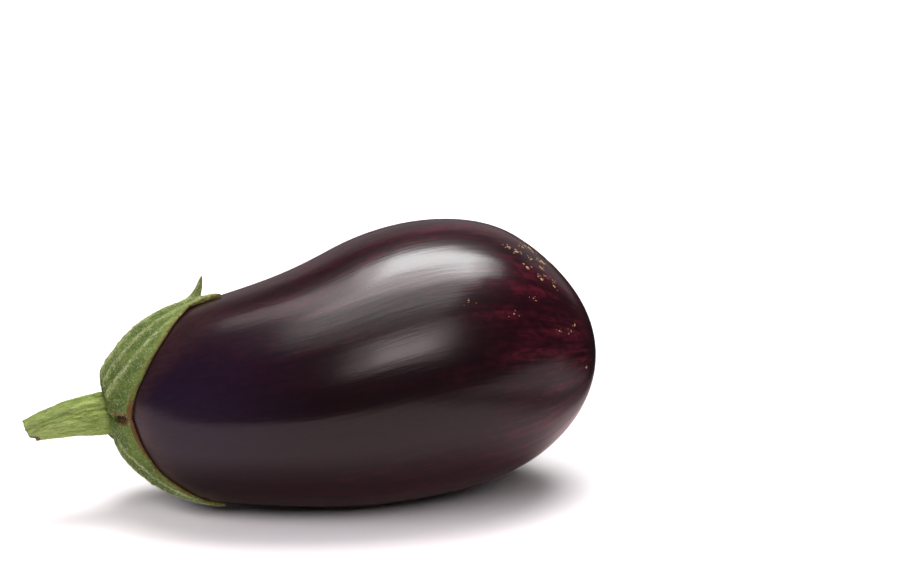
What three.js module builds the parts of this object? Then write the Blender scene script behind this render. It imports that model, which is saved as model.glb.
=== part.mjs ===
// An eggplant as picked, lying on its side. Millimetres, +Z up, +X towards the
// blossom end. The origin is on the surface it lies on, in the resting spot
// under its weight. A roll angle goes round the fruit: 0 degrees is the -Y
// side, 90 the top, 180 the +Y side and 270 the underside.
import * as THREE from "three";

// Fruit: a rounded body round an axis that rises gently towards the blossom end and bows to -Y
// at the neck. Each list pulls on the axis or the girth at even stations, stem end first.
const fruitLength = 163.5;
const stemPoleX = -83.4;
const axisHeights = [34.6, 36.4, 39.6, 42.3, 48.9, 46.9, 47.2];
const axisSides = [7.3, 1.5, -3.3, -0.6, 3.7, 4.2, 2.2];
const girthRadii = [52.6, 42.5, 39.6, 44, 49.4, 54.6, 52.7];
const undersideLean = 0.05; // the underside slopes a little, so that the weight lies over the spot
const dimpleDepth = 1.2; // the scar of the flower, at the blossom end
const dimpleRadius = 4.5;
const fruitColumns = 64;
const fruitRows = 40;

// Calyx: a fleshy cap that lies on the skin.
const skinGap = 0.4;
const rimThickness = 0.9;
const crownThickness = 2.8; // under the stem
const crownStart = 4; // the cap thickens from here, measured from the stem pole
const crownEnd = 9.5;
const ribStart = 8;
const shoulderRadius = 13; // where the cap is at its thickest
const shoulderSpread = 7;
const sinusSlope = 11; // degrees of roll over which a lobe fills out beside a sinus
const liftStart = 0.84; // share of the reach past which a tooth leaves the skin
const ribWidth = 1.5;

// Each lobe lies between two sinuses, with the thickness of its flesh and of its shoulder, and
// the height of its ribs.
const lobes = [
  { from: 8.5, to: 158, flesh: 2.4, shoulder: 1.2, rib: 1.3 },
  { from: 158, to: 247, flesh: 1.8, shoulder: 1.2, rib: 1.2 },
  { from: 247, to: 368.5, flesh: 0.4, shoulder: 1, rib: 0.5 },
];

// The rim, once round: roll in degrees, reach from the stem pole along the skin, lift off the skin.
const rimPoints = [
  [8.5, 17.4, 0],
  [22.5, 18.9, 0],
  [36.5, 22.6, 0.1],
  [47.5, 27.7, 0.2],
  [59.5, 33.5, 0.2],
  [68.5, 38.6, 0.2],
  [79, 43.8, 0.3],
  [88.5, 49, 0.4],
  [93.5, 51.6, 0.5],
  [97, 63, 0.1],
  [101, 56.4, 0.8],
  [103.2, 58.2, 4.2],
  [105.5, 59.3, 6.7],
  [108, 56, 4.2],
  [110.5, 53.5, 1.3],
  [118, 49, 0.6],
  [128, 42.7, 0.4],
  [140, 33.5, 0.2],
  [150, 24.9, 0],
  [158, 18.9, 0],
  [168, 24.9, 0.1],
  [178, 33.5, 0.2],
  [187, 43.2, 0.5],
  [193, 54, 2.4],
  [199, 45.4, 0.8],
  [207, 46.5, 0.6],
  [214, 57.2, 1.6],
  [221, 44.3, 0.4],
  [231, 32.4, 0.1],
  [240, 23.8, 0],
  [247, 19.4, 0],
  [256.5, 26.5, 0],
  [266, 34.6, 0],
  [275.5, 42.6, 0],
  [285.5, 53.3, 0.1],
  [291, 48, 0],
  [297.5, 44.2, 0],
  [309, 37.2, 0],
  [319.5, 29.4, 0],
  [330, 25.2, 0],
  [345.5, 20.7, 0],
  [368.5, 17.4, 0],
];
const columnsPerPoint = 3;
const outerRows = 12;
const innerRows = 7;

// Ribs run over the cap from a roll beside the stem to a tooth.
const ribs = [
  { start: 34, tooth: 96 },
  { start: 62, tooth: 97 },
  { start: 92, tooth: 99 },
  { start: 126, tooth: 106 },
  { start: 172, tooth: 193 },
  { start: 196, tooth: 195 },
  { start: 230, tooth: 214 },
  { start: 262, tooth: 286 },
  { start: 292, tooth: 287 },
  { start: 332, tooth: 288 },
];
const ribReach = 58;
const neckRadius = 35; // of the fruit where the ribs end

// Stem: a ribbed stalk that droops a little from the crown of the calyx.
const stemGap = 0.35;
const stemLength = 26.8;
const stemDrop = 4.2;
const stemDroop = 1.7; // the drop grows with this power of the length, so the stem bows
const stemBaseRadius = 7;
const stemTipRadius = 3.3;
const stemTaper = 1.5; // the radius shrinks with this power of the length, so more near the cut
const stemRidges = 6;
const stemRidgeDepth = 0.35;
const cutSlant = 0.42; // how far the cut end leans back, for each millimetre down
const cutStep = 1.6; // the broken lip at the lower edge of the cut
const cutStepBelow = -1.6;
const stemColumns = 36;
const stemBaseRows = 3;
const stemSideRows = 14;
const stemEndRows = 4;

const radians = THREE.MathUtils.degToRad;
const smoothstep = THREE.MathUtils.smoothstep;

// A smooth curve pulled by evenly spaced values: the uniform cubic B-spline.
function splineAt(values, share) {
  const last = values.length - 1;
  const place = THREE.MathUtils.clamp(share, 0, 1) * last;
  const span = Math.min(Math.floor(place), last - 1);
  const t = place - span;
  const before = span > 0 ? values[span - 1] : 2 * values[0] - values[1];
  const after = span < last - 1 ? values[span + 2] : 2 * values[last] - values[last - 1];
  const blend =
    (1 - t) ** 3 * before +
    (3 * t ** 3 - 6 * t ** 2 + 4) * values[span] +
    (-3 * t ** 3 + 3 * t ** 2 + 3 * t + 1) * values[span + 1] +
    t ** 3 * after;
  return blend / 6;
}

// The two directions across the axis at a share of its length: out at a roll, and on round it.
function ringDirections(share, roll) {
  const reach = 0.01;
  const rise = splineAt(axisHeights, share + reach) - splineAt(axisHeights, share - reach);
  const up = new THREE.Vector3(-rise, 0, 2 * reach * fruitLength).normalize();
  const side = new THREE.Vector3(0, -1, 0);
  const out = side.clone().multiplyScalar(Math.cos(roll)).addScaledVector(up, Math.sin(roll));
  const round = up.clone().multiplyScalar(Math.cos(roll)).addScaledVector(side, -Math.sin(roll));
  return { out, round };
}

// A point of the skin. The polar angle runs from 0 at the stem to pi at the blossom end.
function skinPoint(polar, roll) {
  const share = (1 - Math.cos(polar)) / 2;
  const radius = Math.sin(polar) * splineAt(girthRadii, share);
  const dimple = polar > Math.PI / 2 ? dimpleDepth * Math.exp(-((radius / dimpleRadius) ** 2)) : 0;
  const axis = new THREE.Vector3(
    stemPoleX + fruitLength * share - dimple,
    splineAt(axisSides, share),
    splineAt(axisHeights, share),
  );
  const point = axis.clone().addScaledVector(ringDirections(share, roll).out, radius);
  const below = Math.max(0, -Math.sin(roll)) ** 2 * Math.sin(polar);
  point.z -= undersideLean * (point.y - axis.y) * below;
  return point;
}

// The same point raised off the skin by a distance.
function aboveSkin(polar, roll, distance) {
  const nudge = 0.002;
  const along = skinPoint(polar + nudge, roll).sub(skinPoint(polar - nudge, roll));
  const { round } = ringDirections((1 - Math.cos(polar)) / 2, roll);
  const normal = along.cross(round).normalize();
  return skinPoint(polar, roll).addScaledVector(normal, distance);
}

// The polar angle at a distance from the stem pole, walked along the skin.
function polarAtReach(reach) {
  const step = 0.004;
  let polar = 0;
  let walked = 0;
  while (walked < reach) {
    const here = skinPoint(polar, 0);
    walked += skinPoint(polar + step, 0).distanceTo(here);
    polar += step;
  }
  const overshoot = walked - reach;
  return polar - overshoot / girthRadii[0];
}

// A sphere's grid with every point placed anew: place(column, row), row 0 at the stem side.
function shapedSphere(columns, rows, place) {
  const geometry = new THREE.SphereGeometry(1, columns, rows);
  const grid = geometry.getAttribute("uv");
  const points = geometry.getAttribute("position");
  for (let i = 0; i < points.count; i += 1) {
    const column = (Math.round(grid.getX(i) * columns) + columns) % columns;
    const row = Math.round((1 - grid.getY(i)) * rows);
    const point = place(column, row);
    points.setXYZ(i, point.x, point.y, point.z);
  }
  geometry.computeVertexNormals();
  return geometry;
}

function fruitGeometry() {
  return shapedSphere(fruitColumns, fruitRows, (column, row) => {
    const point = skinPoint((Math.PI * row) / fruitRows, (2 * Math.PI * column) / fruitColumns);
    point.z = Math.max(point.z, 0);
    return point;
  });
}

// How full the cap is at a roll: nothing at a sinus, its lobe's own measures away from one.
function lobeAt(rollDegrees) {
  const roll = rollDegrees < lobes[0].from ? rollDegrees + 360 : rollDegrees;
  const lobe = lobes.find(({ from, to }) => roll >= from && roll <= to);
  const inside = Math.min(roll - lobe.from, lobe.to - roll);
  const fullness = smoothstep(inside, 0, sinusSlope);
  return { flesh: lobe.flesh * fullness, shoulder: lobe.shoulder * fullness, rib: lobe.rib };
}

// The relief of the ribs at a roll and a distance from the stem pole, from 0 to 1.
function ribRelief(rollDegrees, reach, radius) {
  const share = Math.min(reach / ribReach, 1);
  const relief = ribs.map(({ start, tooth }) => {
    const centre = THREE.MathUtils.lerp(start, tooth, share);
    const turn = Math.abs(rollDegrees - centre);
    const away = radians(Math.min(turn, 360 - turn)) * radius;
    return Math.exp(-((away / ribWidth) ** 2));
  });
  return Math.max(...relief) * smoothstep(reach, ribStart, shoulderRadius);
}

// The thickness of the cap at a roll and a share of the way from the stem pole to the rim.
function calyxThickness(rollDegrees, share, rimReach) {
  const reach = share * rimReach;
  const { flesh, shoulder, rib } = lobeAt(rollDegrees);
  const shoulderShape = Math.exp(-(((reach - shoulderRadius) / shoulderSpread) ** 2));
  const body = rimThickness + flesh * Math.sqrt(1 - share ** 2);
  const lobe = body + shoulder * shoulderShape * (1 - share ** 3);
  const relief = rib * ribRelief(rollDegrees, reach, Math.min(reach, neckRadius)) * (1 - share ** 2);
  const crownShare = 1 - smoothstep(reach, crownStart, crownEnd);
  return THREE.MathUtils.lerp(lobe + relief, crownThickness, crownShare);
}

function calyxPoint(rollDegrees, share, rimReach, rimLift, proud) {
  const lift = rimLift * Math.max(0, (share - liftStart) / (1 - liftStart)) ** 2;
  return aboveSkin(polarAtReach(share * rimReach), radians(rollDegrees), skinGap + lift + proud);
}

function calyxGeometry() {
  const rim = new THREE.CatmullRomCurve3(
    rimPoints.map(([roll, reach, lift]) => new THREE.Vector3(roll, reach, lift)),
  );
  const columns = (rimPoints.length - 1) * columnsPerPoint;
  return shapedSphere(columns, outerRows + 1 + innerRows, (column, row) => {
    const { x: roll, y: reach, z: lift } = rim.getPoint(column / columns);
    if (row <= outerRows) {
      const share = row / outerRows;
      return calyxPoint(roll, share, reach, lift, calyxThickness(roll % 360, share, reach));
    }
    const share = 1 - (row - outerRows - 1) / innerRows;
    return calyxPoint(roll, share, reach, lift, 0);
  });
}

// The stem stands on the crown and follows it; its far end is cut aslant and a little broken.
function stemGeometry() {
  const rows = stemEndRows + stemSideRows + stemBaseRows;
  const foot = aboveSkin(0, 0, skinGap + crownThickness + stemGap);
  const radiusAt = (share, roll) => {
    const taper = THREE.MathUtils.lerp(stemBaseRadius, stemTipRadius, share ** stemTaper);
    return taper + stemRidgeDepth * Math.cos(stemRidges * roll + Math.sin(roll));
  };
  const cutAt = (height) => {
    const broken = height < cutStepBelow ? cutStep : 0;
    return cutSlant * (stemTipRadius - height) + broken;
  };
  return shapedSphere(stemColumns, rows, (column, row) => {
    const roll = (2 * Math.PI * column) / stemColumns;
    if (row >= rows - stemBaseRows) {
      const reach = (radiusAt(0, roll) * (rows - row)) / stemBaseRows;
      const thickness = calyxThickness(THREE.MathUtils.radToDeg(roll), reach / 40, 40);
      return aboveSkin(polarAtReach(reach), roll, skinGap + thickness + stemGap);
    }
    const inward = Math.min(row / stemEndRows, 1);
    const along = 1 - Math.max(0, row - stemEndRows) / stemSideRows;
    const radius = radiusAt(along, roll) * inward;
    const height = radius * Math.sin(roll);
    return new THREE.Vector3(
      foot.x - stemLength * along + cutAt(height) * along ** 4,
      foot.y - radius * Math.cos(roll),
      foot.z - stemDrop * along ** stemDroop + height,
    );
  });
}

function pieceOf(name, geometry, color, roughness) {
  const material = new THREE.MeshStandardMaterial({ color, roughness, metalness: 0 });
  const mesh = new THREE.Mesh(geometry, material);
  mesh.name = name;
  return mesh;
}

const eggplant = new THREE.Group();
eggplant.add(pieceOf("fruit", fruitGeometry(), 0x2b1622, 0.3));
eggplant.add(pieceOf("calyx", calyxGeometry(), 0x7f9c5a, 0.8));
eggplant.add(pieceOf("stem", stemGeometry(), 0x9db36b, 0.8));

export default eggplant;
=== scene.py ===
import bisect
import math
import random

import bmesh
import bpy
from mathutils import Matrix, Vector, noise


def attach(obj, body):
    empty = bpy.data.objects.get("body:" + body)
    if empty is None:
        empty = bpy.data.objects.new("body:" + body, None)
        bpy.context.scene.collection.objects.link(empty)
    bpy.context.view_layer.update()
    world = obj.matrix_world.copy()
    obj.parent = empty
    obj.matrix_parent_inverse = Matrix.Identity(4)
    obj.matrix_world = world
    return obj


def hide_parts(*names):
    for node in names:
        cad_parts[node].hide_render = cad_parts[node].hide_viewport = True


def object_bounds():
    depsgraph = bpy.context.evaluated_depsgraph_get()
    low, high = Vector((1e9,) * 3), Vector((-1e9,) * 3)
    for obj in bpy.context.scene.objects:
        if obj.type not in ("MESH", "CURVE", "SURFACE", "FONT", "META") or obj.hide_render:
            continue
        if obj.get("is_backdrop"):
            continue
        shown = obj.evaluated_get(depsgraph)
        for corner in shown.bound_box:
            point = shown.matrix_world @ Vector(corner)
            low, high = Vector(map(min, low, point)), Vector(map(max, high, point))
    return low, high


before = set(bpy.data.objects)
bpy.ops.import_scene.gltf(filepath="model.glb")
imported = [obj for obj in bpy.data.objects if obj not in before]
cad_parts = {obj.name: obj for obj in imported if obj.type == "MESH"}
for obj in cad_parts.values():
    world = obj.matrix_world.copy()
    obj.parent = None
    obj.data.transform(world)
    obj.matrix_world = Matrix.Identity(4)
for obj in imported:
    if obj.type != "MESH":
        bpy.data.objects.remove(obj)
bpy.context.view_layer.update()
mm = 0.001  # forms are worked out in millimetres, and the scene is in metres
print("frame loaded:", ", ".join(sorted(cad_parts)))


def smoothstep(value, low, high):
    share = min(max((value - low) / (high - low), 0), 1)
    return share * share * (3 - 2 * share)


def mix(first, second, share):
    return first + (second - first) * share


def bell(distance, width):
    return math.exp(-((distance / width) ** 2))


def turnBetween(first, second):  # degrees from one roll to another, the short way
    turn = abs(first - second) % 360
    return min(turn, 360 - turn)


# Camera, lights and floor

cameraView = {
    "place": (-0.1679, -0.8060, 0.2943),
    "target": (0.03307, 0, 0.0717),
    "lens": 100,
    "sensor": 36,
}
cameraData = bpy.data.cameras.new("camera")
cameraData.lens = cameraView["lens"]
cameraData.sensor_width = cameraView["sensor"]
camera = bpy.data.objects.new("camera", cameraData)
camera.location = cameraView["place"]
sight = Vector(cameraView["target"]) - camera.location
camera.rotation_euler = sight.to_track_quat("-Z", "Y").to_euler()
bpy.context.collection.objects.link(camera)
bpy.context.scene.camera = camera
bpy.context.scene.view_settings.view_transform = "Standard"

# Soft panels far above the eggplant: where each begins and ends, to the right and ahead as the camera
# sees it, as shares of the distance up to them, and how bright its face is.
studio = {
    "air": (0.026, 0.021, 0.023),
    "rosy": (1, 0.89, 0.91),  # the tint of the fills and of the panels named next
    "rosyPanels": ("mainLeft", "leftEdge", "middlePanel", "mainBack"),
    "height": 4,
    "panels": {
        "mainPanel": {"across": (-0.16, 0.37), "deep": (0.08, 0.47), "bright": 13.8},
        "mainRight": {"across": (0.37, 0.50), "deep": (0.10, 0.48), "bright": 8},
        "rightEdge": {"across": (0.50, 0.64), "deep": (0.12, 0.48), "bright": 2.8},
        "mainLeft": {"across": (-0.30, -0.16), "deep": (0.10, 0.48), "bright": 5.6},
        "leftEdge": {"across": (-0.52, -0.30), "deep": (0.12, 0.50), "bright": 1.6},
        "mainBack": {"across": (-0.14, 0.22), "deep": (0.47, 0.58), "bright": 3.6},
        "middlePanel": {"across": (-0.28, 0.48), "deep": (-0.12, 0.08), "bright": 6.3},
        "nearPanel": {"across": (-0.30, 0.40), "deep": (-0.40, -0.12), "bright": 2.4},
        "nearEdge": {"across": (-0.35, 0.45), "deep": (-0.75, -0.40), "bright": 0.8},
    },
    # These face the eggplant: place to the right, ahead and up, width, height and brightness.
    "fills": {
        "frontFill": {"place": (1.08, -3.14, 2.24), "size": (1.15, 1.2), "bright": 3.2},
        "frontHalo": {"place": (1.02, -3.20, 2.28), "size": (2.1, 2.1), "bright": 1.5},
        "backFill": {"place": (0.2, 3.9, 1.4), "size": (5.5, 2.4), "bright": 0.25},
    },
    # This one lights only the floor, so that the shadows stay soft in front.
    "floorFill": {"place": (-1.7, -2.3, 2.3), "size": (3.2, 1.8), "bright": 7, "tint": (1, 0.93, 0.98)},
}
ahead = Vector((sight.x, sight.y, 0)).normalized()
right = Vector((ahead.y, -ahead.x, 0))


def hangLight(name, place, size, bright, facing):
    lamp = bpy.data.lights.new(name, "AREA")
    lamp.shape = "RECTANGLE"
    lamp.size, lamp.size_y = size
    lamp.energy = bright * math.pi * size[0] * size[1]
    holder = bpy.data.objects.new(name, lamp)
    back = -facing.normalized()
    across = right if abs(back.z) == 1 else back.cross(Vector((0, 0, -1))).normalized()
    turned = Matrix((across, back.cross(across), back)).transposed().to_4x4()
    middle = right * place[0] + ahead * place[1] + Vector((0, 0, place[2]))
    holder.matrix_world = Matrix.Translation(middle) @ turned
    holder.visible_camera = False
    bpy.context.collection.objects.link(holder)
    return holder


def towardPart(place):
    return -(right * place[0] + ahead * place[1] + Vector((0, 0, place[2])))


straightDown = Vector((0, 0, -1))
for name, panel in studio["panels"].items():
    high = studio["height"]
    spans = (panel["across"], panel["deep"])
    place = [high * (start + end) / 2 for start, end in spans] + [high]
    size = [high * (end - start) for start, end in spans]
    hung = hangLight(name, place, size, panel["bright"], straightDown)
    if name in studio["rosyPanels"]:
        hung.data.color = studio["rosy"]
for name, fill in studio["fills"].items():
    hung = hangLight(name, fill["place"], fill["size"], fill["bright"], towardPart(fill["place"]))
    hung.data.color = studio["rosy"]
fill = studio["floorFill"]
hung = hangLight("floorFill", fill["place"], fill["size"], fill["bright"], towardPart(fill["place"]))
hung.data.color = fill["tint"]
floorOnly = bpy.data.collections.new("floorOnly")
hung.light_linking.receiver_collection = floorOnly
world = bpy.data.worlds.new("studioAir")
world.use_nodes = True
world.node_tree.nodes["Background"].inputs["Color"].default_value = (*studio["air"], 1)
bpy.context.scene.world = world


def addNode(tree, kind, inputs=None, **settings):
    node = tree.nodes.new(kind)
    for name, value in settings.items():
        setattr(node, name, value)
    for socket, value in (inputs or {}).items():
        if isinstance(value, bpy.types.NodeSocket):
            tree.links.new(value, node.inputs[socket])
        else:
            node.inputs[socket].default_value = value
    return node


def newMaterial(name, roughness, specular):
    material = bpy.data.materials.new(name)
    material.use_nodes = True
    shader = material.node_tree.nodes["Principled BSDF"]
    shader.inputs["Roughness"].default_value = roughness
    shader.inputs["Specular IOR Level"].default_value = specular
    return material, material.node_tree, shader


def colourMix(tree, share, first, second):
    node = addNode(tree, "ShaderNodeMix", {0: share}, data_type="RGBA")
    for socket, value in ((6, first), (7, second)):
        if isinstance(value, bpy.types.NodeSocket):
            tree.links.new(value, node.inputs[socket])
        else:
            node.inputs[socket].default_value = (*value, 1)
    return node.outputs[2]


def number(tree, operation, first, second=0.0, clamp=False):
    node = addNode(tree, "ShaderNodeMath", {0: first, 1: second}, operation=operation, use_clamp=clamp)
    return node.outputs[0]


def between(tree, value, low, high, outLow=0.0, outHigh=1.0):
    node = addNode(
        tree,
        "ShaderNodeMapRange",
        {"Value": value, "From Min": low, "From Max": high, "To Min": outLow, "To Max": outHigh},
        interpolation_type="SMOOTHSTEP",
    )
    return node.outputs["Result"]


# A noise read at a point that is stretched by three scales.
def noiseOver(tree, point, scales, detail, roughness, distortion=0.0):
    mapping = addNode(tree, "ShaderNodeMapping", {"Vector": point, "Scale": scales})
    texture = addNode(
        tree,
        "ShaderNodeTexNoise",
        {
            "Vector": mapping.outputs["Vector"],
            "Scale": 1.0,
            "Detail": detail,
            "Roughness": roughness,
            "Distortion": distortion,
        },
    )
    return texture.outputs["Fac"]


def bumpOf(tree, shader, height, depth):
    bump = addNode(tree, "ShaderNodeBump", {"Height": height, "Distance": depth * mm, "Strength": 1.0})
    tree.links.new(bump.outputs["Normal"], shader.inputs["Normal"])
    tree.links.new(bump.outputs["Normal"], shader.inputs["Coat Normal"])


# The wide floor is what the camera sees; the skin mirrors only the lit table top near the eggplant,
# which is a darker copy of the floor as painted shade, with a painted shadow strip to the right.
floorLook = {
    "roughness": 0.9,
    "specular": 0.1,
    "colour": (0.72, 0.72, 0.72),
    "mirrored": (0.55, 0.44, 0.45),  # as the skin mirrors it, darker than the floor as painted shade, with a painted shadow strip to the right
    # Where the painted shadow strip begins, is darkest and ends, to the right in metres, and how dark it
    # gets.
    "shadowStrip": (0.085, 0.135, 0.19),
    "dimmed": 0.25,
    "farShade": (-0.02, 0.12),  # how far ahead it fades to painted shade, right of the middle of the shadow strip
    # Middle and size in metres, to the right and ahead, and how far below the eggplant in millimetres.
    "sheets": {
        "wideFloor": {"middle": (0, 0), "size": (12, 12), "below": 0.10},
        "tableTop": {"middle": (0.10, 0.42), "size": (1.10, 1.30), "below": 0.05},
    },
}
finish = (floorLook["roughness"], floorLook["specular"])
paper, tree, shader = newMaterial("palePaper", *finish)
shader.inputs["Base Color"].default_value = (*floorLook["colour"], 1)
mirrored, tree, shader = newMaterial("mirroredShadedPaper", *finish)
spot = addNode(tree, "ShaderNodeTexCoord").outputs["Object"]
rightward, forward = (
    addNode(tree, "ShaderNodeVectorMath", {0: spot, 1: way}, operation="DOT_PRODUCT").outputs["Value"]
    for way in (right, ahead)
)
stripStart, stripMiddle, stripEnd = floorLook["shadowStrip"]
# Painted shadow in the mirrored table: darker across the strip, and faded to black ahead past its
# middle.
shadowDarkening = between(tree, rightward, stripStart, stripMiddle, 1, floorLook["dimmed"])
clearing = between(tree, rightward, stripMiddle, stripEnd, floorLook["dimmed"], 1)
past = between(tree, rightward, stripStart, stripMiddle)
gone = number(tree, "MULTIPLY", past, between(tree, forward, *floorLook["farShade"]))
lit = number(tree, "MAXIMUM", shadowDarkening, clearing)
lit = number(tree, "MULTIPLY", lit, number(tree, "SUBTRACT", 1, gone))
mirroredShadedColour = colourMix(tree, lit, (0, 0, 0), floorLook["mirrored"])
tree.links.new(mirroredShadedColour, shader.inputs["Base Color"])
for name, sheet in floorLook["sheets"].items():
    sheetMesh = bmesh.new()
    bmesh.ops.create_grid(sheetMesh, x_segments=1, y_segments=1, size=0.5)
    bmesh.ops.scale(sheetMesh, verts=sheetMesh.verts, vec=(*sheet["size"], 1))
    across, deep = sheet["middle"]
    turned = Matrix((right, ahead, (0, 0, 1))).transposed().to_4x4()
    moved = Matrix.Translation(right * across + ahead * deep + Vector((0, 0, -sheet["below"] * mm)))
    bmesh.ops.transform(sheetMesh, verts=sheetMesh.verts, matrix=moved @ turned)
    sheetData = bpy.data.meshes.new(name)
    sheetMesh.to_mesh(sheetData)
    sheetMesh.free()
    sheetData.materials.append(paper if name == "wideFloor" else mirrored)
    floor = bpy.data.objects.new(name, sheetData)
    bpy.context.collection.objects.link(floor)
    floor.visible_glossy = name == "tableTop"
    floor.visible_camera = floor.visible_diffuse = floor.visible_shadow = name == "wideFloor"
    if name == "wideFloor":
        floorOnly.objects.link(floor)
    floor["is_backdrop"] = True
print("camera, lights and floor placed")


# The form of the fruit, which the calyx and the marks on the skin follow

fruitForm = {
    "length": 163.5,
    "stemPoleX": -83.4,
    "axisHeights": [34.6, 36.4, 39.6, 42.3, 48.9, 46.9, 47.2],
    "axisSides": [7.3, 1.5, -3.3, -0.6, 3.7, 4.2, 2.2],
    "girthRadii": [52.6, 42.5, 39.6, 44, 49.4, 54.6, 52.7],
    "undersideLean": 0.05,
    "dimpleDepth": 1.2,
    "dimpleRadius": 4.5,
    # Waves of the skin: slow unevenness, and long shallow ridges.
    "swell": {"height": 0.35, "around": 1.4, "along": 4, "seed": 0},
    "ripple": {"height": 0.10, "around": 7, "along": 3, "seed": 40},
    "columns": 240,
    "rows": 160,
}


def splineAt(values, share):  # a smooth curve pulled toward evenly spaced values
    last = len(values) - 1
    place = min(max(share, 0), 1) * last
    span = min(int(place), last - 1)
    t = place - span
    before = values[span - 1] if span > 0 else 2 * values[0] - values[1]
    after = values[span + 2] if span < last - 1 else 2 * values[last] - values[last - 1]
    return (
        (1 - t) ** 3 * before
        + (3 * t**3 - 6 * t**2 + 4) * values[span]
        + (-3 * t**3 + 3 * t**2 + 3 * t + 1) * values[span + 1]
        + t**3 * after
    ) / 6


def ringDirections(share, roll):  # out at a roll, and on round the axis
    heights = fruitForm["axisHeights"]
    nearby = 0.01
    rise = splineAt(heights, share + nearby) - splineAt(heights, share - nearby)
    up = Vector((-rise, 0, 2 * nearby * fruitForm["length"])).normalized()
    side = Vector((0, -1, 0))
    return (
        side * math.cos(roll) + up * math.sin(roll),
        up * math.cos(roll) - side * math.sin(roll),
    )


def waveAt(wave, ring, share):  # unevenness at a point of a circle and a share of the length
    spot = ring * wave["around"] + Vector((0, 0, share * wave["along"] + wave["seed"]))
    return wave["height"] * noise.noise(spot)


def skinPoint(polar, roll):  # polar is 0 at the stem and pi at the blossom end
    share = (1 - math.cos(polar)) / 2
    radius = math.sin(polar) * splineAt(fruitForm["girthRadii"], share)
    ring = Vector((math.cos(roll), math.sin(roll), 0))
    waves = waveAt(fruitForm["swell"], ring, share) + waveAt(fruitForm["ripple"], ring, share)
    uneven = waves * math.sin(polar)
    dimple = 0
    if polar > math.pi / 2:
        dimple = fruitForm["dimpleDepth"] * bell(radius, fruitForm["dimpleRadius"])
    axis = Vector(
        (
            fruitForm["stemPoleX"] + fruitForm["length"] * share - dimple,
            splineAt(fruitForm["axisSides"], share),
            splineAt(fruitForm["axisHeights"], share),
        )
    )
    point = axis + ringDirections(share, roll)[0] * (radius + uneven)
    below = max(0, -math.sin(roll)) ** 2 * math.sin(polar)
    point.z -= fruitForm["undersideLean"] * (point.y - axis.y) * below
    return point


def skinFrame(polar, roll):  # the directions along the skin, on round it and out of it
    nearby = 0.002
    along = (skinPoint(polar + nearby, roll) - skinPoint(polar - nearby, roll)).normalized()
    onward = ringDirections((1 - math.cos(polar)) / 2, roll)[1]
    return along, onward, along.cross(onward).normalized()


def aboveSkin(polar, roll, distance):
    return skinPoint(polar, roll) + skinFrame(polar, roll)[2] * distance


# How far each polar angle is from the stem pole along the skin.
polarStep = 0.004
stepCount = 790  # a little past the blossom end
polarSteps = [polarStep * step for step in range(stepCount)]
reachSteps = [0.0]
for polar in polarSteps[1:]:
    step = (skinPoint(polar, 0) - skinPoint(polar - polarStep, 0)).length
    reachSteps.append(reachSteps[-1] + step)


def polarAtReach(reach):
    here = min(max(bisect.bisect_right(reachSteps, reach) - 1, 0), len(reachSteps) - 2)
    part = (reach - reachSteps[here]) / (reachSteps[here + 1] - reachSteps[here])
    return polarSteps[here] + polarStep * part


# The rim of the calyx, once round: roll in degrees, reach from the stem pole along the skin, and lift
# off the skin. A roll of 0 is the side that faces front, 90 is the top and 180 is the far side.
rimPoints = [
    (8.5, 17.4, 0), (22.5, 18.9, 0), (36.5, 22.6, 0.1), (47.5, 27.7, 0.2), (59.5, 33.5, 0.2),
    (68.5, 38.6, 0.2), (79, 43.8, 0.3), (88.5, 49, 0.4), (93.5, 51.6, 0.5), (97, 63, 0.1),
    (101, 56.4, 0.7), (103.2, 58.2, 4.1), (105.5, 59.3, 6.7), (108, 56, 3.7), (110.5, 53.5, 1.1),
    (118, 49, 0.6), (128, 42.7, 0.4), (140, 33.5, 0.2), (150, 24.9, 0), (158, 18.9, 0),
    (168, 24.9, 0.1), (178, 33.5, 0.2), (187, 43.2, 0.5), (193, 54, 2.4), (199, 45.4, 0.8),
    (207, 46.5, 0.6), (214, 57.2, 1.6), (221, 44.3, 0.4), (231, 32.4, 0.1), (240, 23.8, 0),
    (247, 19.4, 0), (256.5, 26.5, 0), (266, 34.6, 0), (275.5, 42.6, 0), (285.5, 53.3, 0.1),
    (291, 48, 0), (297.5, 44.2, 0), (309, 37.2, 0), (319.5, 29.4, 0), (330, 25.2, 0),
    (345.5, 20.7, 0), (368.5, 17.4, 0),
]


def rimAt(share):  # an even curve through the points of the rim
    last = len(rimPoints) - 1
    span = min(int(share * last), last - 1)
    part = share * last - span
    points = [Vector(point) for point in rimPoints]
    start, end = points[span], points[span + 1]
    before = points[span - 1] if span > 0 else start * 2 - end
    after = points[span + 2] if span < last - 1 else end * 2 - start
    gaps = [max((b - a).length ** 0.5, 1e-4) for a, b in ((before, start), (start, end), (end, after))]
    leave = (start - before) / gaps[0] - (end - before) / (gaps[0] + gaps[1]) + (end - start) / gaps[1]
    arrive = (end - start) / gaps[1] - (after - start) / (gaps[1] + gaps[2]) + (after - end) / gaps[2]
    leave, arrive = leave * gaps[1], arrive * gaps[1]
    curve = start * 2 - end * 2 + leave + arrive
    bend = end * 3 - start * 3 - leave * 2 - arrive
    return curve * part**3 + bend * part**2 + leave * part + start


rimSteps = 720
rimCurve = [rimAt(step / rimSteps) for step in range(rimSteps)]
rimLine = sorted((point.x % 360, point.y) for point in rimCurve)
rimRolls = [roll for roll, reach in rimLine]


def rimReachAt(rollDegrees):
    here = bisect.bisect_left(rimRolls, rollDegrees % 360) % len(rimLine)
    return rimLine[here][1]


# Fruit

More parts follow.
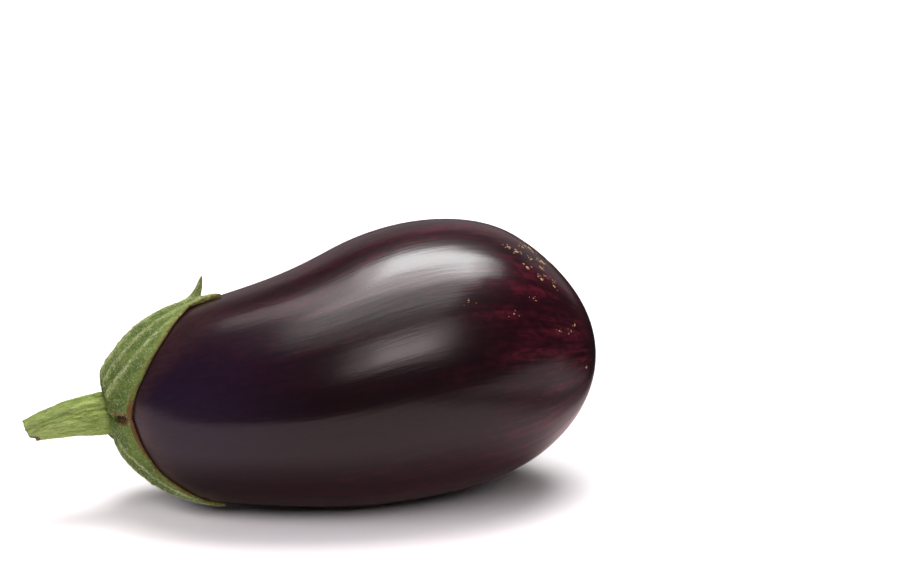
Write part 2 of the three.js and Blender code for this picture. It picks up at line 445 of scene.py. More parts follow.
fruitLook = {
    "dark": (0.0075, 0.0012, 0.0030),
    "violet": (0.0180, 0.0085, 0.0250),
    "wine": (0.0650, 0.0060, 0.0140),
    "brown": (0.0420, 0.0190, 0.0210),  # beside the calyx
    "roughness": 0.36,  # of the soft sheen under the gloss
    "specular": 0.1,
    "gloss": 0.84,
    "glossIor": 1.5,
    "glossRoughness": 0.18,
    "patternRadius": 45,
    # Scales of the patterns, two across the streaks and one along them.
    "broadStreak": (0.30, 0.30, 0.030),
    "fineStreak": (0.8, 0.8, 0.09),
    "mottle": (0.40, 0.40, 0.20),
    "grain": (0.75, 0.75, 0.06),
    "pores": (2.4, 2.4, 1.2),
    "poreHeight": 0.22,
    "grainDepth": 0.05,
}
# Where the colours lie: rolls in degrees, places as shares of the length.
skinMarks = {
    "darkFront": {"roll": 2, "width": 54, "fade": (0.66, 0.88)},
    "blush": {"back": 0.75, "front": 0.06, "strength": 0.55},
    "darkNeck": {"blush": 0.15, "fade": (0.1, 0.45)},
    "scar": {"fade": (0.93, 0.99), "dimmed": 0.75, "edge": (0.9965, 0.999), "brown": 1.2},
    "violet": {"roll": 22, "width": 38, "fade": (0.1, 0.42)},
    "brown": {"reach": 13, "reachOnTop": 42, "topStart": (30, 75), "topEnd": (150, 200)},
}
# Blushes: roll in degrees, share of the length, half width in degrees, half length as a share, strength.
blushes = [
    (80, 0.71, 8, 0.075, 1.0), (58, 0.76, 6, 0.05, 0.7), (46, 0.79, 6, 0.05, 0.7),
    (56, 0.85, 8, 0.05, 0.8), (32.5, 0.735, 2.6, 0.045, 1.1), (18, 0.80, 5, 0.045, 0.9),
    (12, 0.77, 3, 0.03, 0.7), (7.5, 0.655, 3.2, 0.032, 1.0), (21, 0.87, 8, 0.05, 0.6),
    (26, 0.93, 12, 0.04, 0.6), (8, 0.95, 12, 0.03, 0.7), (350, 0.85, 6, 0.04, 0.4),
    (323, 0.88, 9, 0.05, 0.7), (327, 0.83, 6, 0.06, 0.4), (326, 0.74, 5, 0.05, 0.3),
    (320, 0.66, 4, 0.05, 0.3), (92, 0.90, 8, 0.05, 0.7), (70, 0.93, 14, 0.03, 0.6),
]
# More of them, drawn at random round the far side.
farBlushes = {
    "seed": 11,
    "rolls": range(102, 318, 9),
    "shift": (-4, 4),
    "place": (0.62, 0.93),
    "width": (3, 9),
    "length": (0.03, 0.08),
    "strength": (0.4, 1.0),
}
drawn = random.Random(farBlushes["seed"])
for roll in farBlushes["rolls"]:
    roll += drawn.uniform(*farBlushes["shift"])
    blushes.append(
        (roll, *(drawn.uniform(*farBlushes[key]) for key in ("place", "width", "length", "strength")))
    )


def aroundRoll(mark, rollDegrees):
    return bell(turnBetween(rollDegrees, mark["roll"]), mark["width"])


# How much wine, violet and brown there is at a point of the skin.
def skinTone(share, rollDegrees, reach):
    mark = skinMarks["darkFront"]
    front = aroundRoll(mark, rollDegrees) * (1 - smoothstep(share, *mark["fade"]))
    blush = mix(skinMarks["blush"]["back"], skinMarks["blush"]["front"], front)
    mark = skinMarks["darkNeck"]
    blush *= mix(mark["blush"], 1, smoothstep(share, *mark["fade"]))
    for roll, place, width, length, strength in blushes:
        turn = turnBetween(rollDegrees, roll)
        if turn < 3 * width:
            strength *= skinMarks["blush"]["strength"]
            blush += strength * bell(turn, width) * bell(share - place, length)
    scar = skinMarks["scar"]
    blush *= 1 - scar["dimmed"] * smoothstep(share, *scar["fade"])  # the streaks fade out round it
    mark = skinMarks["violet"]
    violet = (1 - smoothstep(share, *mark["fade"])) * aroundRoll(mark, rollDegrees)
    mark = skinMarks["brown"]
    onTop = smoothstep(rollDegrees, *mark["topStart"]) * (1 - smoothstep(rollDegrees, *mark["topEnd"]))
    beyond = reach - rimReachAt(rollDegrees)
    brown = 1 - smoothstep(beyond, 0, mix(mark["reach"], mark["reachOnTop"], onTop))
    brown += scar["brown"] * smoothstep(share, *scar["edge"])
    return Vector((blush, violet, brown))


def newPiece(name, bm, material, node=None, smooth=True):
    bmesh.ops.recalc_face_normals(bm, faces=bm.faces)
    bmesh.ops.scale(bm, verts=bm.verts, vec=(mm, mm, mm))
    for face in bm.faces:
        face.smooth = smooth
    data = bpy.data.meshes.new(name)
    bm.to_mesh(data)
    bm.free()
    data.materials.append(material)
    piece = bpy.data.objects.new(name, data)
    bpy.context.collection.objects.link(piece)
    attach(piece, "root")
    if node:
        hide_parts(node)
    print(name, "built with", len(data.polygons), "faces")


def sphereGrid(bm, columns, rows):  # each vertex with its polar angle and its roll
    bmesh.ops.create_uvsphere(bm, u_segments=columns, v_segments=rows, radius=1)
    for vert in bm.verts:
        yield vert, math.acos(min(max(vert.co.z, -1), 1)), math.atan2(vert.co.y, vert.co.x)


skin, tree, shader = newMaterial("aubergineSkin", fruitLook["roughness"], fruitLook["specular"])
shader.inputs["Coat Weight"].default_value = fruitLook["gloss"]
shader.inputs["Coat IOR"].default_value = fruitLook["glossIor"]
shader.inputs["Coat Roughness"].default_value = fruitLook["glossRoughness"]
place = addNode(tree, "ShaderNodeAttribute", attribute_name="skinPlace").outputs["Vector"]
tone = addNode(tree, "ShaderNodeAttribute", attribute_name="skinTone").outputs["Vector"]
tones = addNode(tree, "ShaderNodeSeparateXYZ", {"Vector": tone}).outputs
broadStreak = between(tree, noiseOver(tree, place, fruitLook["broadStreak"], 3, 0.55, 0.4), 0.36, 0.66)
fineStreak = between(tree, noiseOver(tree, place, fruitLook["fineStreak"], 4, 0.6), 0.34, 0.68)
mottle = between(tree, noiseOver(tree, place, fruitLook["mottle"], 5, 0.65, 0.8), 0.36, 0.66)
streaks = between(tree, broadStreak, 0, 1, 0.25, 0.85)
streaks = number(tree, "MULTIPLY", streaks, between(tree, fineStreak, 0, 1, 0.85, 1.08))
streaks = number(tree, "MULTIPLY", streaks, between(tree, mottle, 0, 1, 0.4, 1.25))
wine = number(tree, "MULTIPLY", tones["X"], streaks, clamp=True)
violetShare = number(tree, "MULTIPLY", tones["Y"], between(tree, mottle, 0, 1, 0.8, 1))
brownShare = number(tree, "MULTIPLY", tones["Z"], between(tree, mottle, 0, 1, 0.5, 0.8))
colour = colourMix(tree, violetShare, fruitLook["dark"], fruitLook["violet"])
colour = colourMix(tree, brownShare, colour, fruitLook["brown"])
colour = colourMix(tree, wine, colour, fruitLook["wine"])
tree.links.new(colour, shader.inputs["Base Color"])
grain = noiseOver(tree, place, fruitLook["grain"], 4, 0.55)
pores = noiseOver(tree, place, fruitLook["pores"], 3, 0.55)
pores = number(tree, "MULTIPLY", pores, fruitLook["poreHeight"])
bumpOf(tree, shader, number(tree, "ADD", grain, pores), fruitLook["grainDepth"])

fruitMesh = bmesh.new()
placeLayer = fruitMesh.verts.layers.float_vector.new("skinPlace")
toneLayer = fruitMesh.verts.layers.float_vector.new("skinTone")
for vert, polar, roll in sphereGrid(fruitMesh, fruitForm["columns"], fruitForm["rows"]):
    share = (1 - math.cos(polar)) / 2
    reach = reachSteps[min(int(polar / polarStep), len(reachSteps) - 1)]
    point = skinPoint(polar, roll)
    point.z = max(point.z, 0)  # the small flat spot it lies on
    vert.co = point
    wrap = fruitLook["patternRadius"]
    vert[placeLayer] = Vector((wrap * math.cos(roll), wrap * math.sin(roll), reach))
    vert[toneLayer] = skinTone(share, math.degrees(roll) % 360, reach)
newPiece("eggplantFruit", fruitMesh, skin, "fruit")


# Calyx

calyxForm = {
    "skinGap": 0.12,
    "rimThickness": 0.9,
    "leastThickness": 0.35,
    "lip": 0.35,  # how far the rounded edge stands past the rim
    "crownThickness": 2.8,
    "crownStart": 4,
    "crownEnd": 9.5,
    "ribStart": 8,
    "shoulderRadius": 13,
    "shoulderSpread": 7,
    "sinusSlope": 11,
    "liftStart": 0.86,
    "liftCurve": 2.5,
    "ribWidth": 1.25,
    "ribReach": 58,
    "neckRadius": 35,
    "poleRadius": 4,  # nearer the pole than this, splits are no narrower
    # Layers of unevenness, each with its strength, its scales round and along, and a shift of the noise.
    "veinHeight": 0.42,
    "veins": [(1, 0.62, 0.07, (0, 0)), (0.5, 1.5, 0.16, (7, 0))],
    "lumpHeight": 0.16,
    "lumps": [(1, 0.9, 0.8, (0, 31)), (0.6, 2.1, 1.9, (0, 57))],
    "smoothCrown": (3, 10),  # where the unevenness begins and is full
    "smoothRim": 0.75,  # how much of it is lost at the rim
    # The split between two lobes, beside the stem.
    "slit": {"depth": 2.1, "width": 0.9, "start": (7, 9), "end": (13.5, 15.5)},
    # How far inside the rim each band begins and is full: the pale edge, a wide cork, and a narrow line
    # at the lip, brown partly as cork and partly as painted shade where the rim meets the skin.
    "bands": {"edge": (2.3, 0.9), "strip": (1.2, 0.5), "line": (0.5, 0)},
    "stripCork": 0.85,
    "lipCorkAndShade": 0.4,
    "corkSides": {"width": 2.2, "start": (8.5, 11)},  # along the splits between the lobes
    "brownTips": {"cork": 0.3, "start": (0.9, 1), "rimReach": (54, 60)},
    "ribPaleness": 1.6,  # the higher, the narrower the pale line of a rib
    "leastHairy": 0.15,  # the hairs stand mostly on the ribs
    "columnsPerPoint": 15,
    "outerRows": 62,
    "lipRows": 4,
    "innerRows": 10,
}
# Each lobe lies between two sinuses: the thickness of its flesh and its shoulder, its ribs' height, and
# how many degrees the corky edge runs on from a sinus.
lobes = [
    {"from": 8.5, "to": 158, "flesh": 2.4, "shoulder": 1.2, "rib": 1.3, "corkAlong": 26},
    {"from": 158, "to": 247, "flesh": 1.8, "shoulder": 1.2, "rib": 1.2, "corkAlong": 20},
    {"from": 247, "to": 368.5, "flesh": 0.4, "shoulder": 1, "rib": 0.5, "corkAlong": 48},
]
# Ribs run from a roll beside the stem to a tooth.
ribs = [
    (34, 96), (62, 97), (92, 99), (126, 106), (172, 193), (196, 195), (230, 214),
    (262, 286), (292, 287), (332, 288),
]


def lobeAt(rollDegrees):
    roll = rollDegrees + 360 if rollDegrees < lobes[0]["from"] else rollDegrees
    lobe = next(lobe for lobe in lobes if lobe["from"] <= roll <= lobe["to"])
    inside = min(roll - lobe["from"], lobe["to"] - roll)
    fullness = smoothstep(inside, 0, calyxForm["sinusSlope"])
    return lobe, fullness, inside


def ribRelief(rollDegrees, reach):
    share = min(reach / calyxForm["ribReach"], 1)
    radius = min(reach, calyxForm["neckRadius"])
    relief = 0
    for start, tooth in ribs:
        away = math.radians(turnBetween(rollDegrees, mix(start, tooth, share))) * radius
        relief = max(relief, bell(away, calyxForm["ribWidth"]))
    return relief * smoothstep(reach, calyxForm["ribStart"], calyxForm["shoulderRadius"])


def layeredNoise(layers, ring, reach):  # unevenness at a point of a circle and a reach along the skin
    return sum(
        strength * noise.noise(ring * around + Vector((*spot, reach * along)))
        for strength, around, along, spot in layers
    )


# Thickness of the cap, and its tones: how much of a rib, of the edge and of cork there is, with painted
# shade deep in the split.
def calyxSurface(rollDegrees, share, rimReach):
    reach = share * rimReach
    lobe, fullness, inside = lobeAt(rollDegrees)
    radius = min(reach, calyxForm["neckRadius"])
    shoulderShape = bell(reach - calyxForm["shoulderRadius"], calyxForm["shoulderSpread"])
    body = calyxForm["rimThickness"] + lobe["flesh"] * fullness * math.sqrt(1 - share**2)
    body += lobe["shoulder"] * fullness * shoulderShape * (1 - share**3)
    relief = ribRelief(rollDegrees, reach)
    body += lobe["rib"] * relief * (1 - share**2)
    crown = 1 - smoothstep(reach, calyxForm["crownStart"], calyxForm["crownEnd"])
    thickness = mix(body, calyxForm["crownThickness"], crown)
    turn = math.radians(rollDegrees)
    ring = Vector((math.cos(turn), math.sin(turn), 0)) * radius
    uneven = calyxForm["veinHeight"] * layeredNoise(calyxForm["veins"], ring, reach)
    uneven += calyxForm["lumpHeight"] * layeredNoise(calyxForm["lumps"], ring, reach)
    thin = 1 - calyxForm["smoothRim"] * share**4
    thickness += uneven * smoothstep(reach, *calyxForm["smoothCrown"]) * thin
    slitForm, sides, tips = (calyxForm[key] for key in ("slit", "corkSides", "brownTips"))
    aside = math.radians(inside) * max(reach, calyxForm["poleRadius"])
    slit = bell(aside, slitForm["width"]) * smoothstep(reach, *slitForm["start"])
    slit *= 1 - smoothstep(reach, *slitForm["end"])
    thickness -= slitForm["depth"] * slit
    edge, strip, line = (
        smoothstep(reach, *(rimReach - inwards for inwards in band))
        for band in calyxForm["bands"].values()
    )
    cork = bell(aside, sides["width"]) * smoothstep(reach, *sides["start"])
    cork += calyxForm["stripCork"] * strip * bell(inside, lobe["corkAlong"])
    tip = smoothstep(share, *tips["start"]) * smoothstep(rimReach, *tips["rimReach"])
    # The narrow line browns the lip all round: partly cork, partly painted shade under the rim.
    cork = max(cork + tips["cork"] * tip, calyxForm["lipCorkAndShade"] * line)
    # Deep in the split the cork tone passes 1, and the material paints it darker there: painted shade
    # over dark cork.
    tones = Vector((relief ** calyxForm["ribPaleness"], edge, max(min(cork, 1), 2 * slit)))
    return max(thickness, calyxForm["leastThickness"]), tones


def calyxPoint(rollDegrees, share, rimReach, rimLift, proud):
    past = max(0, (share - calyxForm["liftStart"]) / (1 - calyxForm["liftStart"]))
    height = calyxForm["skinGap"] + rimLift * past ** calyxForm["liftCurve"] + proud
    return aboveSkin(polarAtReach(share * rimReach), math.radians(rollDegrees), height)


calyxLook = {
    "green": (0.205, 0.315, 0.040),
    "panel": (0.096, 0.182, 0.021),
    "groove": (0.040, 0.068, 0.014),
    "ridge": (0.530, 0.630, 0.215),
    "fuzz": (0.640, 0.700, 0.340),
    "edge": (0.270, 0.320, 0.066),
    "cork": (0.215, 0.115, 0.026),
    # Painted shade deep in the split, over dark cork.
    "darkCorkAndShade": (0.022, 0.010, 0.006),
    "roughness": 0.62,
    "specular": 0.4,
    "bump": 0.24,
    "specks": 0.26,
    "ridgeShare": 0.95,
}
# Scales of the patterns on the calyx and the stem. The last two run along the veins, for each
# millimetre, and the others are even, for each metre.
greenPattern = {
    "cloud": 180,
    "down": 620,
    "flake": 700,
    "speck": 1150,
    "grain": 2600,
    "vein": (1.1, 1.1, 0.2),
    "thread": (1.7, 1.7, 0.13),
}


def greenMaterial(name, look, placeName, toneName):
    material, tree, shader = newMaterial(name, look["roughness"], look["specular"])
    point = addNode(tree, "ShaderNodeTexCoord").outputs["Object"]
    grown = addNode(tree, "ShaderNodeAttribute", attribute_name=placeName).outputs["Vector"]
    marks = addNode(tree, "ShaderNodeAttribute", attribute_name=toneName).outputs["Vector"]
    marks = addNode(tree, "ShaderNodeSeparateXYZ", {"Vector": marks}).outputs

    def evenNoise(key, detail, roughness):
        return noiseOver(tree, point, (greenPattern[key],) * 3, detail, roughness)

    cloud = between(tree, evenNoise("cloud", 3, 0.5), 0.35, 0.65)
    vein = between(tree, noiseOver(tree, grown, greenPattern["vein"], 5, 0.65), 0.38, 0.62)
    speck = between(tree, evenNoise("speck", 3, 0.65), 0.52, 0.62)
    grain = evenNoise("grain", 2, 0.6)
    thread = number(tree, "SUBTRACT", noiseOver(tree, grown, greenPattern["thread"], 3, 0.55), 0.5)
    thread = between(tree, number(tree, "ABSOLUTE", thread), 0.01, 0.045, 1, 0)
    down = between(tree, evenNoise("down", 4, 0.7), 0.4, 0.6, 0.2, 1)
    flaked = number(tree, "MULTIPLY", evenNoise("flake", 3, 0.6), 0.9)
    ridge = number(tree, "MULTIPLY", marks["X"], number(tree, "MULTIPLY", down, look["ridgeShare"]))
    specks = number(tree, "MULTIPLY", speck, between(tree, marks["X"], 0, 1, look["specks"], 0.75))
    edge = number(tree, "MULTIPLY", marks["Y"], between(tree, vein, 0, 1, 0.3, 0.9))
    corkShare = between(tree, number(tree, "ADD", marks["Z"], flaked), 0.65, 1.05)
    colour = colourMix(tree, cloud, look["panel"], look["green"])
    colour = colourMix(tree, number(tree, "MULTIPLY", vein, 0.5), colour, look["green"])
    colour = colourMix(tree, number(tree, "MULTIPLY", thread, 0.5), colour, look["groove"])
    colour = colourMix(tree, ridge, colour, look["ridge"])
    colour = colourMix(tree, specks, colour, look["fuzz"])
    colour = colourMix(tree, edge, colour, look["edge"])
    colour = colourMix(tree, corkShare, colour, look["cork"])
    # A cork tone past 1 darkens to painted shade, deep in the split between two lobes.
    colour = colourMix(tree, between(tree, marks["Z"], 1.0, 1.7), colour, look["darkCorkAndShade"])
    tree.links.new(colour, shader.inputs["Base Color"])
    height = number(tree, "ADD", number(tree, "MULTIPLY", vein, 0.9), number(tree, "ADD", speck, grain))
    height = number(tree, "SUBTRACT", height, thread)
    bumpOf(tree, shader, height, look["bump"])
    return material


calyxGreen = greenMaterial("calyxGreen", calyxLook, "calyxPlace", "calyxTone")
calyxMesh = bmesh.new()
placeLayer = calyxMesh.verts.layers.float_vector.new("calyxPlace")
toneLayer = calyxMesh.verts.layers.float_vector.new("calyxTone")
hairyLayer = calyxMesh.verts.layers.float.new("hairy")
columns = (len(rimPoints) - 1) * calyxForm["columnsPerPoint"]
outerRows, lipRows, innerRows = (calyxForm[key] for key in ("outerRows", "lipRows", "innerRows"))
rows = outerRows + lipRows + 1 + innerRows
rimAround = [rimAt(column / columns) for column in range(columns)]
for vert, polar, roll in sphereGrid(calyxMesh, columns, rows):
    column = round(roll / (2 * math.pi) * columns) % columns
    row = round(polar / math.pi * rows)
    rollDegrees, rimReach, rimLift = rimAround[column]
    share = min(row / outerRows, 1)
    thickness, tones = calyxSurface(rollDegrees % 360, share, rimReach)
    if row > outerRows + lipRows:
        share = (rows - row) / innerRows
        thickness = 0
    elif row > outerRows:
        turn = math.pi * (row - outerRows) / (lipRows + 1)
        share = 1 + calyxForm["lip"] * math.sin(turn) / rimReach
        thickness *= (1 + math.cos(turn)) / 2
    vert.co = calyxPoint(rollDegrees, share, rimReach, rimLift, thickness)
    turn = math.radians(rollDegrees)
    around = min(share * rimReach, calyxForm["neckRadius"])
    vert[placeLayer] = Vector((around * math.cos(turn), around * math.sin(turn), share * rimReach))
    vert[toneLayer] = tones
    vert[hairyLayer] = (calyxForm["leastHairy"] + tones.x) * (row < outerRows)


# Stem

stemForm = {
    "sink": -0.35,  # how far its foot stands off the calyx, so it goes a little way in
    "footLift": 0.75,
    "length": 26.8,
    "drop": 4.2,
    "droop": 1.7,
    "baseRadius": 7,
    "tipRadius": 3.3,
    "taper": 1.5,
    "ridges": 6,
    "ridgeDepth": 0.35,
    "furrowDepth": 0.45,
    "furrow": {"height": 1, "around": 4.2, "along": 3.2, "seed": 9},
    "crease": {"height": 0.9, "around": 6.5, "along": 2.6, "seed": 3},
    "wrinkle": {"height": 0.16, "around": 8, "along": 19, "seed": 0},
    "tipRelief": 0.6,
    # The cut end slants, and it is torn away by a step on the lower side.
    "cutSlant": 0.42,
    "cutStep": 1.6,
    "cutStepBelow": -1.6,
    "cutStepFade": (-0.25, 0.25),
    "cutRagged": {"height": 0.5, "scale": 0.9, "seed": 5},
    "cutFade": 4,  # the higher, the nearer the end all this stays
    "patternRadius": 5.5,
    "columns": 168,
    "endRows": 10,
    "sideRows": 74,
    "baseRows": 8,
}
# Where the stem is paler or torn: rolls in degrees, places as shares of the length. The paler underside
# is painted light, as from the bright floor.
stemMarks = {
    "ridges": {"pale": 0.7, "atFoot": 0.5},
    "below": {"roll": 305, "width": 50, "pale": 0.6},
    "tip": {"start": (0.35, 1), "pale": 0.4},
    "cut": {"edge": 0.8},
    "torn": {"roll": 310, "width": 34, "start": (0.84, 0.96), "cork": 0.9},
}
stemFoot = aboveSkin(0, 0, calyxForm["crownThickness"] + stemForm["footLift"])


def stemRadius(share, roll):  # the radius, and how much of a ridge there is
    taper = mix(stemForm["baseRadius"], stemForm["tipRadius"], share ** stemForm["taper"])
    ridge = math.cos(stemForm["ridges"] * roll + math.sin(roll))
    ring = Vector((math.cos(roll), math.sin(roll), 0))
    furrow = waveAt(stemForm["furrow"], ring, share) - abs(waveAt(stemForm["crease"], ring, share))
    relief = stemForm["furrowDepth"] * furrow + waveAt(stemForm["wrinkle"], ring, share)
    relief *= mix(1, stemForm["tipRelief"], share)
    return taper + stemForm["ridgeDepth"] * ridge + relief, ridge + furrow


stemLook = {
    "green": (0.375, 0.505, 0.110),
    "panel": (0.275, 0.400, 0.070),
    "groove": (0.100, 0.140, 0.030),
    "ridge": (0.520, 0.620, 0.200),
    "fuzz": (0.520, 0.570, 0.270),
    "edge": (0.360, 0.300, 0.120),
    "cork": (0.230, 0.150, 0.055),
    "darkCorkAndShade": (0.080, 0.045, 0.020),
    "roughness": 0.62,
    "specular": 0.4,
    "bump": 0.26,
    "specks": 0.3,
    "ridgeShare": 0.85,
}
stemGreen = greenMaterial("stemGreen", stemLook, "stemPlace", "stemTone")
stemMesh = bmesh.new()
placeLayer = stemMesh.verts.layers.float_vector.new("stemPlace")
toneLayer = stemMesh.verts.layers.float_vector.new("stemTone")
hairySideLayer = stemMesh.verts.layers.float.new("hairy")
endRows, sideRows, baseRows = (stemForm[key] for key in ("endRows", "sideRows", "baseRows"))
stemRows = endRows + sideRows + baseRows
farRim = 40  # under the stem, the calyx is about as thick wherever its rim is
for vert, polar, roll in sphereGrid(stemMesh, stemForm["columns"], stemRows):
    row = round(polar / math.pi * stemRows)  # row 0 is the middle of the cut end
    if row > endRows + sideRows:
        radius, ridge = stemRadius(0, roll)
        reach = radius * (stemRows - row) / baseRows
        thickness = calyxSurface(math.degrees(roll) % 360, reach / farRim, farRim)[0]
        gap = calyxForm["skinGap"] + thickness + stemForm["sink"]
        vert.co = aboveSkin(polarAtReach(reach), roll, gap)
        along = 0
    else:
        inward = min(row / endRows, 1)
        along = 1 - max(0, row - endRows) / sideRows
        radius, ridge = stemRadius(along, roll)
        height = radius * inward * math.sin(roll)
        cut = stemForm["cutSlant"] * (stemForm["tipRadius"] - height)
        step = smoothstep(stemForm["cutStepBelow"] - height, *stemForm["cutStepFade"])
        ragged = stemForm["cutRagged"]
        spot = Vector((radius * inward * math.cos(roll), height, ragged["seed"])) * ragged["scale"]
        cut += stemForm["cutStep"] * step + ragged["height"] * noise.noise(spot) * inward
        vert.co = Vector(
            (
                stemFoot.x - stemForm["length"] * along + cut * along ** stemForm["cutFade"],
                stemFoot.y - radius * inward * math.cos(roll),
                stemFoot.z - stemForm["drop"] * along ** stemForm["droop"] + height,
            )
        )
    wrap = stemForm["patternRadius"]
    vert[placeLayer] = Vector((wrap * math.cos(roll), wrap * math.sin(roll), along * stemForm["length"]))
    ridges, below, tip, cutEnd, torn = stemMarks.values()
    # The underside is paler as painted light from below.
    pale = ridges["pale"] * max(ridge, 0) + below["pale"] * aroundRoll(below, math.degrees(roll))
    pale = pale * mix(ridges["atFoot"], 1, along) + tip["pale"] * smoothstep(along, *tip["start"])
    edge = cutEnd["edge"] * (1 - smoothstep(row, endRows - 1, endRows + 1))
    cork = torn["cork"] * aroundRoll(torn, math.degrees(roll)) * smoothstep(along, *torn["start"])
    vert[toneLayer] = Vector((min(pale, 1), edge, cork))
    vert[hairySideLayer] = float(endRows < row < endRows + sideRows)


# Fuzz: small stars of fine hairs on the calyx and the stem

fuzzForm = {
    "rays": 4,
    "rayLength": 0.5,
    "rayWidth": 0.07,
    "sides": 3,
    "twist": 17,  # degrees that each ray is turned on from the last, beyond an even share
    "leans": (62, 40),  # by turns
    "shorter": 0.18,  # what the second and the third ray lose of their length, once and twice
    # A star is doubled over and over, and each copy has a size between two shares.
    "calyx": {"doublings": 12, "sizes": (0.6, 1.25)},
    "stem": {"doublings": 10, "sizes": (0.5, 1.0)},
    "colour": (0.70, 0.74, 0.50),
    "roughness": 0.7,
    "specular": 0.3,
    "seed": 5,
}


def starOfHairs():
    star = bmesh.new()
    for ray in range(fuzzForm["rays"]):
        turn = 360 * ray / fuzzForm["rays"] + fuzzForm["twist"] * ray
        turned = Matrix.Rotation(math.radians(turn), 4, "Z")
        leaning = Matrix.Rotation(math.radians(fuzzForm["leans"][ray % 2]), 4, "Y")
        length = fuzzForm["rayLength"] * (1 - fuzzForm["shorter"] * (ray % 3))
        lift = Matrix.Translation((0, 0, length / 2))
        bmesh.ops.create_cone(
            star,
            cap_ends=True,
            cap_tris=True,
            segments=fuzzForm["sides"],
            radius1=fuzzForm["rayWidth"] / 2,
            radius2=0,
            depth=length,
            matrix=turned @ leaning @ lift,
        )
    return star


# Places at random on the faces that are hairy all over, each turned out along its face. The faces are
# sorted first, because a sphere is made with them in another order each time.
def hairPlaces(bm, hairy, count, dice, sizes):
    bm.verts.index_update()
    faces = [face for face in bm.faces if all(vert[hairy] > 0 for vert in face.verts)]
    faces.sort(key=lambda face: sorted(vert.index for vert in face.verts))
    chances = [face.calc_area() * sum(vert[hairy] for vert in face.verts) for face in faces]
    places = []
    for face in dice.choices(faces, weights=chances, k=count):
        weights = [dice.random() for vert in face.verts]
        total = sum(weights)
        spot = sum((vert.co * weight / total for vert, weight in zip(face.verts, weights)), Vector())
        spin = Matrix.Rotation(dice.uniform(0, 2 * math.pi), 4, "Z")
        size = Matrix.Scale(dice.uniform(*sizes), 4)
        tilt = face.normal.to_track_quat("Z", "Y").to_matrix().to_4x4()
        places.append(Matrix.Translation(spot) @ tilt @ spin @ size)
    return places


def buildFuzz(name, bm, hairy, slot):
    doublings, sizes = (fuzzForm[slot][key] for key in ("doublings", "sizes"))
    bmesh.ops.recalc_face_normals(bm, faces=bm.faces)
    bm.normal_update()
    places = hairPlaces(bm, hairy, 2**doublings, random.Random(fuzzForm["seed"]), sizes)
    star = starOfHairs()
    starLayer = star.verts.layers.int.new("star")
    count = 1
    for doubling in range(doublings):
        copies = bmesh.ops.duplicate(star, geom=star.verts[:] + star.edges[:] + star.faces[:])
        for element in copies["geom"]:
            if isinstance(element, bmesh.types.BMVert):
                element[starLayer] += count
        count *= 2
    for vert in star.verts:
        vert.co = places[vert[starLayer]] @ vert.co
    newPiece(name, star, fuzzLook, smooth=False)


fuzzLook, tree, shader = newMaterial("paleFuzz", fuzzForm["roughness"], fuzzForm["specular"])
shader.inputs["Base Color"].default_value = (*fuzzForm["colour"], 1)
buildFuzz("calyxFuzz", calyxMesh, hairyLayer, "calyx")
buildFuzz("stemFuzz", stemMesh, hairySideLayer, "stem")
newPiece("eggplantCalyx", calyxMesh, calyxGreen, "calyx")
newPiece("eggplantStem", stemMesh, stemGreen, "stem")


# Corky flecks on the skin, where a leaf has rubbed it

fleckForm = {
    "thickness": 0.16,
    "grow": 1.15,
    "sunk": 0.03,
    "extraGrains": 4,
    "spread": (2.2, 1.8),  # of the extra grains, round and along, in degrees
    "grainSizes": (0.3, 0.6),
    "mostTurn": 0.6,
    "jag": {"height": 0.6, "scale": 1.6},
    "dark": (0.22, 0.11, 0.06),
    "pale": (0.50, 0.35, 0.17),
    "patchScale": 1400,
    "roughness": 0.6,
    "specular": 0.35,
    "seed": 3,
}
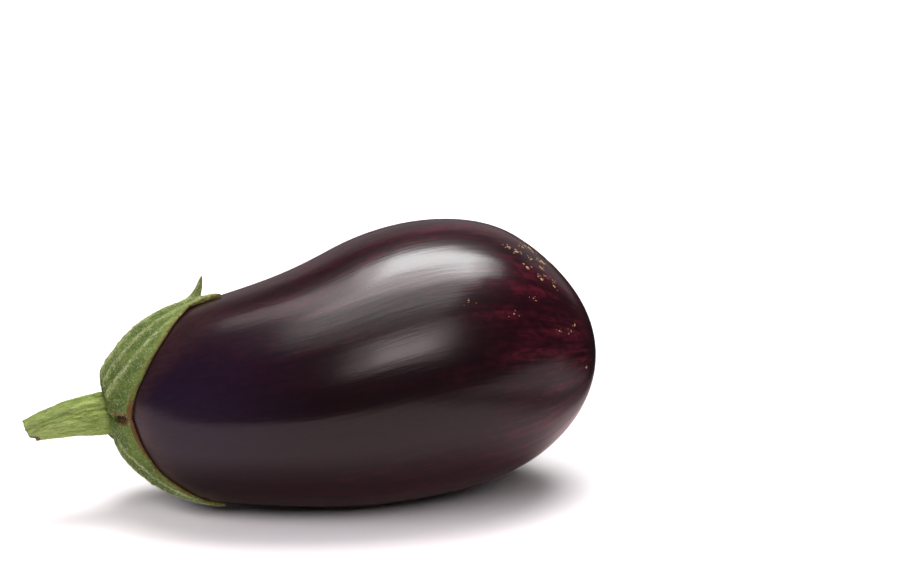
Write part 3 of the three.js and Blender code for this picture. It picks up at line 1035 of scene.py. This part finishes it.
# Flecks: roll and polar angle in degrees, width round the fruit and length along it.
flecks = [
    (69, 124.8, 0.8, 1.5), (67, 127, 0.9, 1.7), (74, 130.3, 0.7, 1.2), (85.5, 133.2, 0.8, 1.0),
    (79, 134, 1.1, 1.5), (91.5, 138.5, 1.3, 1.4), (66, 132.2, 0.8, 1.0), (57.5, 129.2, 1.1, 1.3),
    (69.5, 135.2, 0.7, 0.8), (70, 137.5, 1.5, 1.9), (80.5, 142.2, 1.3, 1.5), (88, 146.2, 1.4, 1.3),
    (54.5, 132.8, 0.7, 0.8), (53.5, 134, 0.9, 1.0), (57.5, 136.5, 0.6, 0.9), (57.5, 139.5, 0.5, 0.8),
    (53, 139.5, 0.9, 1.2), (40.5, 129, 0.4, 0.7), (31.5, 146.8, 0.7, 0.9), (26, 138.2, 0.5, 0.7),
    (0.5, 152.8, 0.6, 0.7), (32, 122.2, 0.5, 0.7), (38.5, 112, 0.4, 0.6), (27, 144.2, 0.5, 0.8),
    (75.5, 134.5, 0.9, 1.1), (63, 135.2, 1.0, 1.1), (77.5, 132, 0.8, 1.2),
]
fleckLook, tree, shader = newMaterial("corkFleck", fleckForm["roughness"], fleckForm["specular"])
point = addNode(tree, "ShaderNodeTexCoord").outputs["Object"]
patch = between(tree, noiseOver(tree, point, (fleckForm["patchScale"],) * 3, 3, 0.6), 0.35, 0.65)
colour = colourMix(tree, patch, fleckForm["dark"], fleckForm["pale"])
tree.links.new(colour, shader.inputs["Base Color"])
fleckMesh = bmesh.new()
dice = random.Random(fleckForm["seed"])
apart, onward = fleckForm["spread"]
for rollDegrees, polarDegrees, width, length in flecks:
    grains = [(rollDegrees, polarDegrees, width, length)]
    for extra in range(fleckForm["extraGrains"]):
        grains.append(
            (
                rollDegrees + dice.uniform(-apart, apart),
                polarDegrees + dice.uniform(-onward, onward),
                width * dice.uniform(*fleckForm["grainSizes"]),
                length * dice.uniform(*fleckForm["grainSizes"]),
            )
        )
    for roll, polar, wide, long in grains:
        polar, roll = math.radians(polar), math.radians(roll)
        spot = aboveSkin(polar, roll, -fleckForm["sunk"])
        axes = Matrix(skinFrame(polar, roll)).transposed().to_4x4()
        turn = Matrix.Rotation(dice.uniform(-fleckForm["mostTurn"], fleckForm["mostTurn"]), 4, "Z")
        grain = bmesh.ops.create_icosphere(fleckMesh, subdivisions=2, radius=1)["verts"]
        seed = Vector((dice.uniform(0, 50), 0, 0))
        for vert in grain:
            jag = fleckForm["jag"]["height"] * noise.noise(vert.co * fleckForm["jag"]["scale"] + seed)
            across = fleckForm["grow"] * (1 + jag) / 2
            high = fleckForm["thickness"] / 2
            shape = Vector((vert.co.x * long * across, vert.co.y * wide * across, vert.co.z * high))
            vert.co = spot + axes @ (turn @ shape)
newPiece("corkFlecks", fleckMesh, fleckLook)


# Bounds of all that is shown

low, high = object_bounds()
